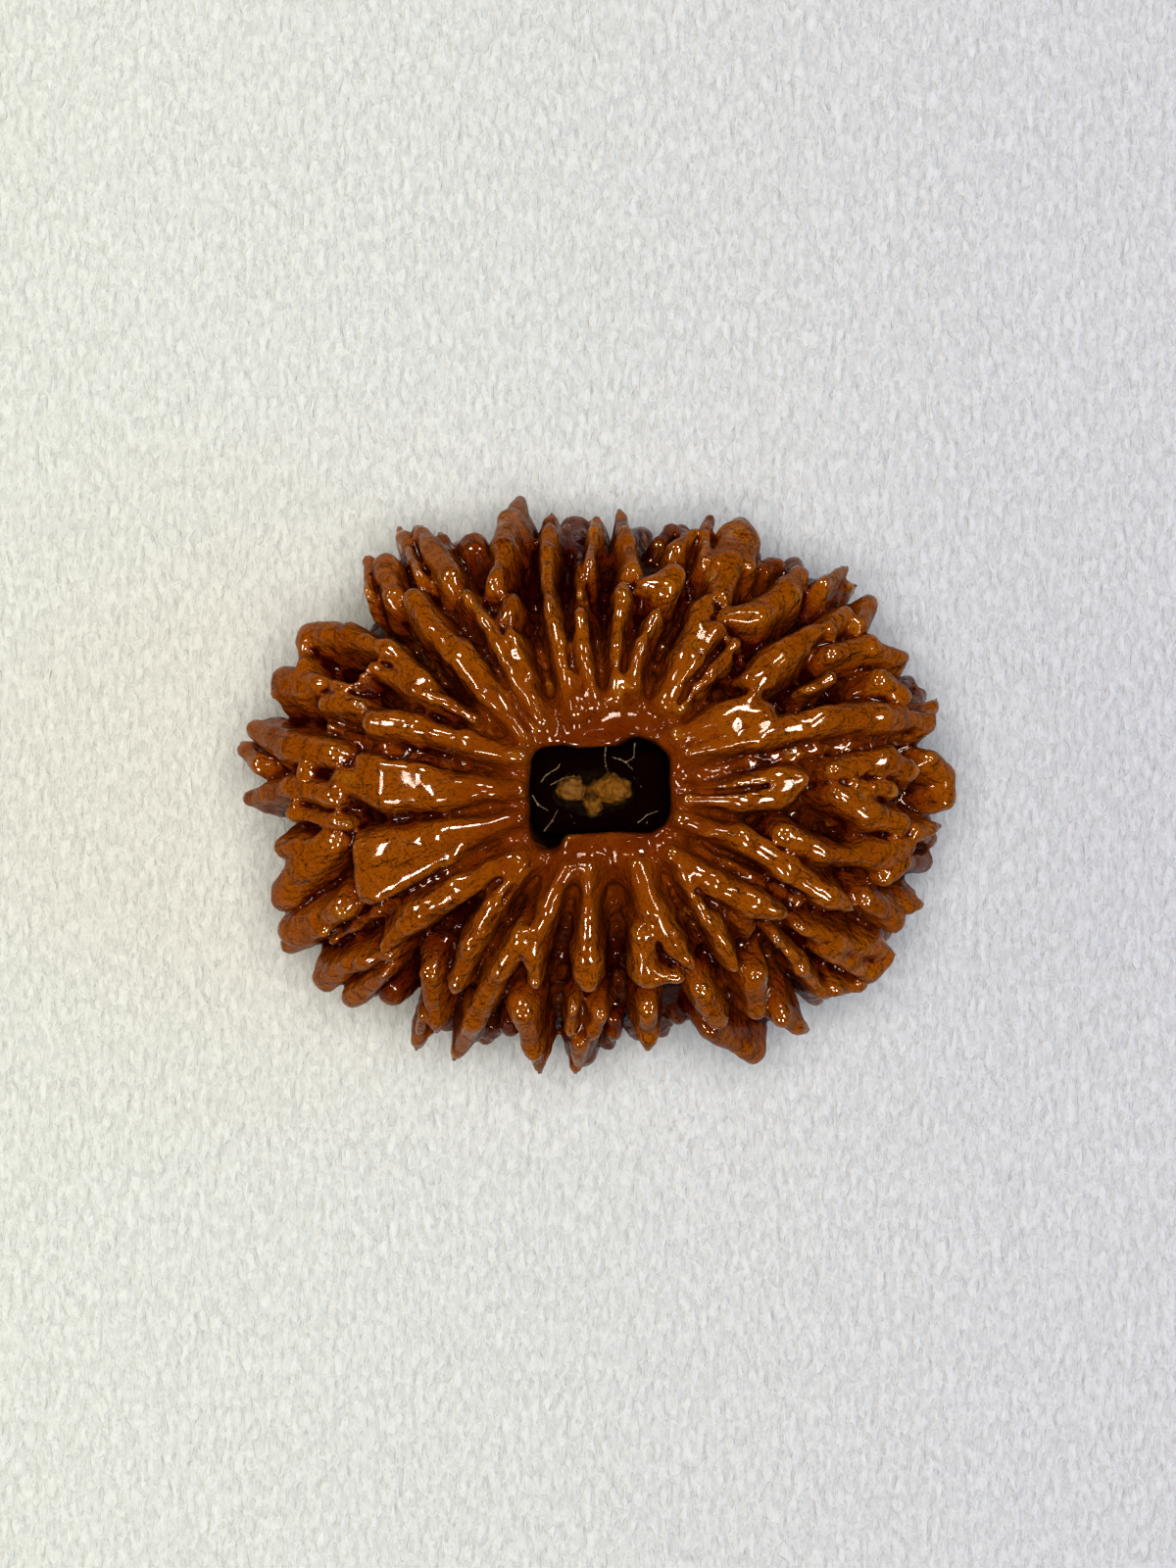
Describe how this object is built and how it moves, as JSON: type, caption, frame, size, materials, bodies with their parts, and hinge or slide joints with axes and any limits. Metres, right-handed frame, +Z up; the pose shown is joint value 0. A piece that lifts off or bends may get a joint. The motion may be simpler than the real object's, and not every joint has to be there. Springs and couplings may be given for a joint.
{
  "type": "rudraksha bead",
  "caption": "Flattened round seed stone with forked knobby ridges radiating from a stringing socket at the crown, dried pith inside it.",
  "frame": {"origin": "centre of the bounding box's underside, on the surface that the bead rests on", "axes": "+Z up out of the stringing socket, +X along the bead's longest diameter, +Y along its shorter diameter, towards the top of the picture"},
  "size_m": [0.0364, 0.0292, 0.0234],
  "materials": {
    "oiled_stone": "glossy, oiled",
    "dry_pith": "dull, fibrous"
  },
  "bodies": {
    "root": {"bead": "oiled_stone", "pith": "dry_pith"}
  },
  "joints": []
}
